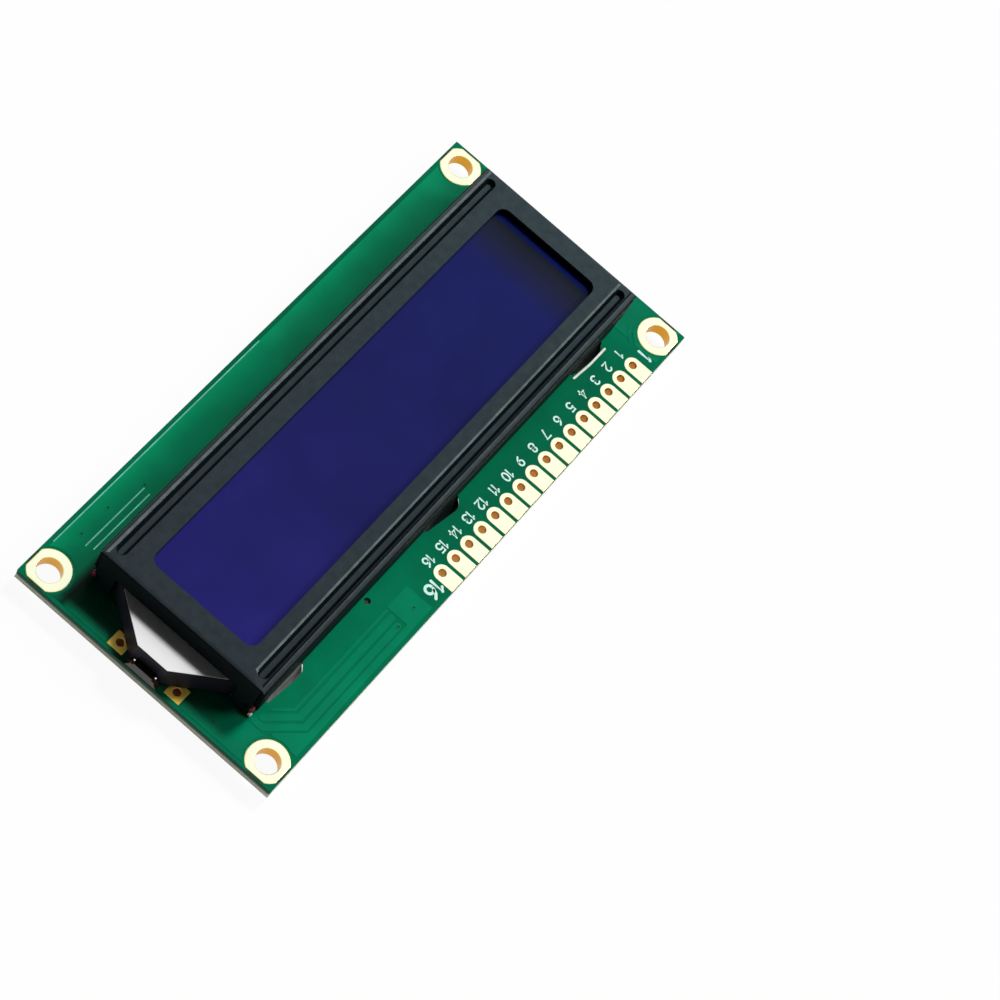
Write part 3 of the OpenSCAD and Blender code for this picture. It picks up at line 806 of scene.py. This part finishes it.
# %% Lay the mask over the ground planes
rim_x, rim_y, PLANE_GAP = half_length - 0.5, 17.45, 0.3
planes_front = [
    box_outline(-rim_x, -rim_y, rim_x, -12.05),
    box_outline(-rim_x, -12.05, -34.5, 12.9),
    [(-rim_x, 12.9), (-35.6, 12.9), (-34.4, 14.1), (-34.4, rim_y), (-rim_x, rim_y)],
    [(10.3, 13.7), (14.0, 13.7), (14.0, rim_y), (10.3, rim_y)],
    [(14.0, 16.64), (31.9, 16.64), (34.9, 13.64), (34.9, rim_y), (14.0, rim_y)],
    [(35.5, -12.05), (rim_x, -12.05), (rim_x, rim_y), (35.5, rim_y)],
]
planes_back = [
    box_outline(-rim_x, -rim_y, rim_x, -12.9),
    box_outline(-rim_x, -12.9, -34.0, rim_y),
    box_outline(34.0, -12.9, rim_x, rim_y),
    box_outline(10.3, 12.9, 34.0, rim_y),
]
level = front + MASK_T
lay_sheet("plane_front", planes_front, openings(PLANE_GAP), level, level + COPPER_T, mask_light)
level = back - MASK_T
lay_sheet("plane_back", planes_back, openings(PLANE_GAP), level - COPPER_T, level, mask_light)

# %% [markdown]
# ## Tracks and printed strokes
#
# Tracks and printed figures are the same thing to a modeller: flat ribbons of one width that
# follow a path. A curve with a bevel would do, but its ends would be square. This Geometry
# Nodes tree turns the edges of a mesh into ribbons and puts a small disc on each point, so
# ends and corners come out round. A disc is a little thinner than its ribbon, so that their
# faces never share a plane. The inputs set the width, the thickness and the material.

# %% Build the ribbon tree
def new_tree(name, *sizes):
    """A Geometry Nodes tree, with the sockets that it is given and the node for its result."""
    tree = bpy.data.node_groups.new(name, "GeometryNodeTree")
    inputs = [("Geometry", "Geometry"), *((size, "Float") for size in sizes),
              ("Material", "Material")]
    for label, kind in inputs:
        tree.interface.new_socket(label, in_out="INPUT", socket_type="NodeSocket" + kind)
    tree.interface.new_socket("Geometry", in_out="OUTPUT", socket_type="NodeSocketGeometry")
    return tree, add_node(tree, "NodeGroupInput").outputs, add_node(tree, "NodeGroupOutput")


def discs_on(tree, given, sides, radius, depth):
    """A disc on each point that the tree is given, as real geometry."""
    disc = add_node(tree, "GeometryNodeMeshCylinder", Vertices=sides, Radius=radius, Depth=depth)
    place = add_node(tree, "GeometryNodeInstanceOnPoints", Points=given["Geometry"],
                     Instance=disc.outputs["Mesh"])
    return add_node(tree, "GeometryNodeRealizeInstances",
                    Geometry=place.outputs["Instances"]).outputs["Geometry"]


def paint_and_end(tree, given, result, geometry):
    """The end of a tree: the material that it is given, then the result."""
    paint = add_node(tree, "GeometryNodeSetMaterial", Geometry=geometry,
                     Material=given["Material"])
    feed(result, Geometry=paint.outputs["Geometry"])


ribbons, given, result = new_tree("ribbons", "Width", "Thickness")
path = add_node(ribbons, "GeometryNodeMeshToCurve", Mesh=given["Geometry"])
upright = add_node(ribbons, "GeometryNodeSetCurveNormal", mode="Z_UP",
                   Curve=path.outputs["Curve"])
section = add_node(ribbons, "GeometryNodeCurvePrimitiveQuadrilateral",
                   Width=given["Width"], Height=given["Thickness"])
sweep = add_node(ribbons, "GeometryNodeCurveToMesh", Fill_Caps=True,
                 Curve=upright.outputs["Curve"], Profile_Curve=section.outputs["Curve"])
half = maths(ribbons, "MULTIPLY", given["Width"], 0.5)
thin = maths(ribbons, "MULTIPLY", given["Thickness"], 0.96)
join = add_node(ribbons, "GeometryNodeJoinGeometry", Geometry=sweep.outputs["Mesh"])
feed(join, Geometry=discs_on(ribbons, given, 14, half, thin))
paint_and_end(ribbons, given, result, join.outputs["Geometry"])
print("ribbon tree with", len(ribbons.nodes), "nodes")

# %% [markdown]
# A tree runs as a modifier on a mesh. Its inputs are set by each socket's identifier, and the
# result is read off as a plain mesh before the object goes.

# %% Helpers for growing pieces along paths
def grow(tree, mesh, **sizes):
    """Runs a tree on a mesh, with its inputs set by name, and gives back a plain mesh."""
    thing = put("path", mesh)
    growth = thing.modifiers.new("grow", "NODES")
    growth.node_group = tree
    for item in tree.interface.items_tree:
        if item.in_out == "INPUT" and item.name in sizes:
            growth[item.identifier] = sizes[item.name]
    grown = evaluated(thing)
    bpy.data.objects.remove(thing)
    return grown


def path_mesh(paths, z):
    """Paths of points in millimetres, as one mesh of edges at a height in metres."""
    points, edges = [], []
    for path in paths:
        edges += [(len(points) + i, len(points) + i + 1) for i in range(len(path) - 1)]
        points += [(x * MM, y * MM, z) for x, y in path]
    mesh = bpy.data.meshes.new("path")
    mesh.from_pydata(points, edges, [])
    return mesh


def lay(name, paths, width, thickness, paint, z):
    """Ribbons along paths as one piece, standing up from that height."""
    mesh = grow(ribbons, path_mesh(paths, z + thickness * MM / 2), Width=width * MM,
                Thickness=thickness * MM, Material=paint)
    add_piece(name, mesh, paint)


print("growing helpers ready")

# %% [markdown]
# On the front only a few tracks come out from under the bezel. Two broad ones and a fine one
# run from a via beside the 16 to the lamp's end. The copper under the mask makes them stand
# up by a few hundredths of a millimetre. Across the ground plane run two thin gaps, round
# the land beside the 1. Three of the plane's edges below the bezel catch the light, which is
# painted on them as thin pale green strips, and so does an arc round the last land there, which
# stands a little proud. Along the first slot's rim a thin pale line paints the light that shows
# through the slot.

# %% Lay the tracks on the front
mask_top = front_z + MASK_T * MM
plane_top = mask_top + COPPER_T * MM
# Painted highlight: a pale green for the edges of the ground plane that catch the light.
painted_edge_highlight = finish("edge_highlight_green", (0.14, 0.52, 0.40), 0.22, gloss=0.4, mottle=0.2,
                    mottle_scale=900)
# Painted light: a pale colour for the light that shows through the first slot.
slot_light_paint = finish("slot_light_paint", (0.80, 0.81, 0.72), 0.6, gloss=0.1, mottle=0.15,
                    mottle_scale=1500)
lay("tracks_broad", [
    [(14.9, 16.0), (31.6, 16.0), (34.9, 12.7), (34.9, 11.5)],
    [(14.6, 14.85), (31.1, 14.85), (34.0, 11.95)],
], 0.86, COPPER_T, mask_light, mask_top)
lay("tracks_fine", [
    [(14.3, 13.92), (30.8, 13.92), (32.6, 12.12)],
], 0.34, COPPER_T, mask_light, mask_top)
land_x, land_y = screw_x / MM, screw_y / MM
lay("track_gaps", [
    bend(-land_x, land_y, 3.1, 3.1, -80, -25),
    bend(-land_x, land_y, 3.8, 3.8, -72, -30),
], 0.16, 0.01, mask_dark, plane_top)
# These strips paint the highlight along three edges of the plane.
lay("edge_highlight_strips", [
    [(22.8, -13.75), (32.2, -13.75)],
    [(22.6, -14.65), (32.5, -14.65)],
    [(-1.0, -17.42), (34.6, -17.42)],
], 0.15, 0.02, painted_edge_highlight, plane_top)
lay("land_arc", [bend(land_x, -land_y, 3.0, 3.0, 106, 52)], 0.2, 0.015, mask_light, plane_top)
wall = middle + WALL_Y
# A thin pale line along the first slot's rim paints the light seen through the slot.
lay("slot_rim", [
    [(-slot_x - 2.4, wall + 0.92), (-slot_x + 0.6, wall + 0.90), (-slot_x + 3.6, wall + 0.62)],
], 0.27, 0.02, slot_light_paint, mask_top)

# %% [markdown]
# ## Vias
#
# A via is a small plated hole that joins the tracks of both faces. Under the mask it shows as
# a low dimple: a raised ring with a dark middle. One tree puts a disc on each point, and it
# runs twice, with a wide disc for the ring and a smaller, taller one for the middle.

# %% Build the stud tree
studs, given, result = new_tree("studs", "Radius", "Height")
paint_and_end(studs, given, result,
              discs_on(studs, given, 20, given["Radius"], given["Height"]))


def set_studs(name, places, radius, height, paint, z):
    """A disc on each place, in millimetres, as one piece centred on that height."""
    points = bpy.data.meshes.new("places")
    points.from_pydata([(x * MM, y * MM, z) for x, y in places], [], [])
    mesh = grow(studs, points, Radius=radius * MM, Height=height * MM, Material=paint)
    add_piece(name, mesh, paint)


print("stud tree with", len(studs.nodes), "nodes")

# %% [markdown]
# Seven vias lie open to view on the front. The middle of each stands a hair proud of its
# ring, so that the two never share a plane.

# %% Set the vias on the front
via_dark = finish("via_dimple", (0, 0.045, 0.025), 0.4, gloss=0.2, mottle=0.1)
front_vias = [(14.9, 16.1), (11.8, 15.95), (27.3, -15.9), (31.75, -15.9), (22.3, -14.85),
              (-36.6, -10.2), (38.2, 8.4)]
set_studs("via_rings_front", front_vias, 0.34, 0.05, mask_light, mask_top + 0.03 * MM)
set_studs("via_dimples_front", front_vias, 0.15, 0.06, via_dark, mask_top + 0.032 * MM)

# %% [markdown]
# ## The printed figures
#
# The white ink is screen printed over the mask. Blender's text tool would need a font, and a
# drawn figure is only a few strokes, so each digit is a set of paths in a cell of 0.6 by 1,
# with arcs worked out where the stroke bends. The ribbon tree then gives them their width.
# The row is numbered from 1 to 16, with a large 1 and a large 16 at its ends.

# %% Draw the digits
DIGITS = {
    "0": [bend(0.3, 0.5, 0.28, 0.5, 0, 360, 16)],
    "1": [[(0, 0.78), (0.22, 1.0), (0.22, 0.0)]],
    "2": [bend(0.3, 0.7, 0.28, 0.3, 160, -35) + [(0.02, 0.0), (0.6, 0.0)]],
    "3": [bend(0.28, 0.76, 0.27, 0.24, 150, -85), bend(0.28, 0.27, 0.31, 0.27, 85, -150)],
    "4": [[(0.44, 0.0), (0.44, 1.0), (0, 0.3), (0.62, 0.3)]],
    "5": [[(0.55, 1.0), (0.1, 1.0), (0.06, 0.56)] + bend(0.28, 0.32, 0.31, 0.32, 105, -150)],
    "6": [[(0.48, 1.0), (0.2, 0.78), (0.04, 0.46)] + bend(0.3, 0.3, 0.28, 0.3, 165, -180, 14)],
    "7": [[(0, 1.0), (0.6, 1.0), (0.22, 0.0)]],
    "8": [bend(0.3, 0.76, 0.24, 0.24, 0, 360, 12), bend(0.3, 0.26, 0.3, 0.26, 0, 360, 14)],
    "9": [[(0.12, 0.0), (0.4, 0.22), (0.56, 0.54)] + bend(0.3, 0.7, 0.28, 0.3, -15, 330, 14)],
}


def number(text, x, y, height):
    """The strokes of a number, centred on a place and given a height, in millimetres."""
    widths = [0.22 if digit == "1" else 0.6 for digit in text]
    gap = 0.25
    pen = x - (sum(widths) + gap * (len(text) - 1)) * height / 2
    strokes = []
    for digit, width in zip(text, widths):
        strokes += [[(pen + px * height, y + (py - 0.5) * height) for px, py in path]
                    for path in DIGITS[digit]]
        pen += (width + gap) * height
    return strokes


print(len(DIGITS), "digits drawn")

# %% [markdown]
# The small numbers stand beside the pin lands, one for each pin.

# %% Print the numbers
SMALL_Y, SMALL, LARGE = 13.6, 1.15, 1.75
white_ink = finish("white_ink", (0.68, 0.97, 0.88), 0.5, gloss=0.3, mottle=0.12,
                   mottle_scale=2500, grain=0.3, grain_scale=6000)
small = [path for i, x in enumerate(pin_xs)
         for path in number(str(i + 1), x / MM, SMALL_Y, SMALL)]
lay("small_numbers", small, 0.22, 0.02, white_ink, mask_top)
lay("large_numbers", number("1", -34.3, 15.95, LARGE) + number("16", 8.4, 16.2, LARGE),
    0.36, 0.02, white_ink, mask_top)
print("numbers 1 to", pin_count)

# %% [markdown]
# ## The lit end
#
# The guide is an acrylic slab that leads the lamp's light under the glass. White film covers
# its tongue, and its thin edges look dark, because they show only the shaded board and the
# inside of the bezel. Glass with real refraction needs many bounces of light to come out that
# dark, so the guide gets a dark, dull finish here that paints this shade. The lamp is a flat
# chip in clear resin, painted near-black for the dark that shows through it.

# %% Finish the light guide and the lamp
# Painted shade: the guide's dark finish stands in for the shaded board and bezel it shows.
acrylic = finish("acrylic_painted_dark", (0.014, 0.014, 0.022), 0.42, gloss=0.05, mottle=0.2,
                 mottle_scale=400)
# Painted shade: the lamp's resin is near-black for the dark seen through it.
resin_painted_dark = finish("resin_painted_dark", (0.010, 0.006, 0.006), 0.2, gloss=0.2, mottle=0.3,
                    mottle_scale=1500, grain=0.3)
bright_tin = finish("bright_tin", (0.8, 0.79, 0.76), 0.25, metallic=1.0, mottle=0.08,
                    grain=0.3)
dull_tin = finish("dull_tin", (0.05, 0.033, 0.02), 0.35, metallic=1.0, mottle=0.3,
                  mottle_scale=2500, grain=0.4)
dress(acrylic, "light_guide")
dress(resin_painted_dark, "lamp_body")
dress(dull_tin, "lamp_terminals", "lamp_solder")

# %% [markdown]
# Small bright beads of tin sit on the lamp's corners and along its front edge, each a ball
# that is half sunk in. The holes of the two square lands beside it are filled with brown
# flux that the soldering iron has left.

# %% Set the beads of tin and the flux
def blob(shape, x, y, z, radius):
    """Adds a small ball to the shape in hand, at a place beside the lamp in millimetres."""
    place = Vector((0, lamp_y, front_z)) + Vector((x, y * MM, z * MM))
    bmesh.ops.create_icosphere(shape, subdivisions=3, radius=radius * MM,
                               matrix=Matrix.Translation(place))


beads = bmesh.new()
lamp_y = (lamp_lo.y + lamp_hi.y) / 2
reach = (lamp_hi.y - lamp_lo.y) / 2 / MM + 0.15
for side in (-1, 1):
    blob(beads, lamp_lo.x + 0.16 * MM, side * reach, 1.28, 0.17)
    blob(beads, lamp_hi.x - 0.2 * MM, side * (reach + 0.15), 0.8, 0.15)
blob(beads, lamp_hi.x - 0.15 * MM, -1.0, 1.5, 0.09)
blob(beads, lamp_hi.x - 0.12 * MM, 0.6, 1.52, 0.08)
add_piece("lamp_beads", beads, bright_tin)
flux = finish("burnt_flux", (0.42, 0.15, 0.012), 0.4, gloss=0.25, mottle=0.25,
              mottle_scale=1500, grain=0.2)
lamp_land_x = (lands_lo.x + lands_hi.x) / 2 / MM
lamp_land_ys = (lands_lo.y / MM + LAMP_LAND / 2, lands_hi.y / MM - LAMP_LAND / 2)
set_studs("lamp_land_flux", [(lamp_land_x, y) for y in lamp_land_ys], 0.485, 0.5, flux,
          front_z - 0.3 * MM)

# %% [markdown]
# The connector strips are a shade longer than the room they have, so a little pink silicone
# is squeezed out at the foot of the open corners by the lamp. Beside one of them a small white
# lump paints a highlight on the silicone. Raising a ball's coordinates to a power below one
# puffs it out towards a box.

# %% Squeeze out the strips' ends
BOXINESS = 0.55


def squeezed_end(shape, x, y, z, size):
    """A soft lump: a ball whose points are pushed out towards a box."""
    for vert in bmesh.ops.create_icosphere(shape, subdivisions=4, radius=1.0)["verts"]:
        puffed = [math.copysign(abs(c) ** BOXINESS, c) / 2 for c in vert.co]
        ripple = 1 + 0.05 * math.sin(9 * vert.co.x + 5 * vert.co.y)
        vert.co = Vector((x + puffed[0] * size[0] * ripple, y + puffed[1] * size[1] * ripple,
                          z + puffed[2] * size[2]))


strip_ends = bmesh.new()
for side in (-1, 1):
    squeezed_end(strip_ends, bezel_hi.x - 0.62 * MM, bezel_y + side * 11.15 * MM,
                 front_z + 0.75 * MM, (0.7 * MM, 0.5 * MM, 1.0 * MM))
add_piece("strip_ends", strip_ends, pink_silicone)
# Painted highlight: a white lump where light glints on the silicone.
highlight_lump = bmesh.new()
squeezed_end(highlight_lump, bezel_hi.x - 0.3 * MM, bezel_y + 11.3 * MM, front_z + 0.32 * MM,
             (0.5 * MM, 0.45 * MM, 0.5 * MM))
add_piece("strip_end_highlight", highlight_lump, white_film)

# %% [markdown]
# ## The back
#
# The two bare chips sit under domes of black potting epoxy, with a row of resistors between
# them. A printed ring marks how far the epoxy may run.

# %% Finish the parts on the back
potting = finish("potting_epoxy", (0.012, 0.012, 0.013), 0.32, mottle=0.2, mottle_scale=400,
                 grain=0.35, grain_scale=900, wear=0.08)
dress(potting, "controller_dome", "driver_dome")
dress(finish("glazed_ceramic", (0.02, 0.02, 0.022), 0.3, mottle=0.2, mottle_scale=2500,
             grain=0.15), "chip_resistors")
dress(finish("tan_ceramic", (0.42, 0.26, 0.13), 0.5, mottle=0.12, mottle_scale=2500,
             grain=0.2), "chip_capacitor")
dress(bright_tin, "chip_end_caps", "chip_solder")

controller_lo, controller_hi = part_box("controller_dome")
driver_lo, driver_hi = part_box("driver_dome")
rings = []
for low, high in ((controller_lo, controller_hi), (driver_lo, driver_hi)):
    x, y = (low.x + high.x) / 2 / MM, (low.y + high.y) / 2 / MM
    rings.append(bend(x, y, (high.x - low.x) / 2 / MM + 0.7, (high.y - low.y) / 2 / MM + 0.7,
                      0, 360, 64))
lay("printed_rings", rings, 0.2, 0.02, white_ink, back_z - 0.04 * MM)

# %% [markdown]
# Tracks fan out from the pin holes to the controller, a bus of parallel ones runs on to the
# driver, and short ones lead away from the driver, each to a via of its own.

# %% Lay the tracks on the back
mask_under = back_z - MASK_T * MM
centre_x = (controller_lo.x + controller_hi.x) / 2 / MM
reach = (controller_hi.x - controller_lo.x) / 2 / MM + 1.2
fan = []
for i, x in enumerate(pin_xs[:14]):
    level = 13.2 - 0.42 * abs(i - 6.5)
    end = centre_x + (i - 6.5) * 0.62
    fan.append([(x / MM, 14.5), (x / MM, level), (end, level - abs(x / MM - end) * 0.42),
                (end, middle + reach * 0.86)])
bus = [[(centre_x + reach * 0.9, middle + 0.42 * k), (9.0, middle + 0.42 * k)]
       for k in range(-4, 5)]
spread = []
for k in range(12):
    for side in (-1, 1):
        foot = 10.2 + 0.75 * k
        spread.append([(foot + 0.3, middle + side * 7.2),
                       (foot + 1.6 * (k - 5.5) * 0.5, middle + side * 9.8)])
lay("tracks_back", fan + bus + spread, 0.2, COPPER_T, mask_light, mask_under - COPPER_T * MM)
back_vias = [(foot, y) for path in spread for foot, y in path[1:]]
set_studs("via_rings_back", back_vias, 0.3, 0.05, mask_light, mask_under - 0.03 * MM)
set_studs("via_dimples_back", back_vias, 0.13, 0.06, via_dark, mask_under - 0.032 * MM)
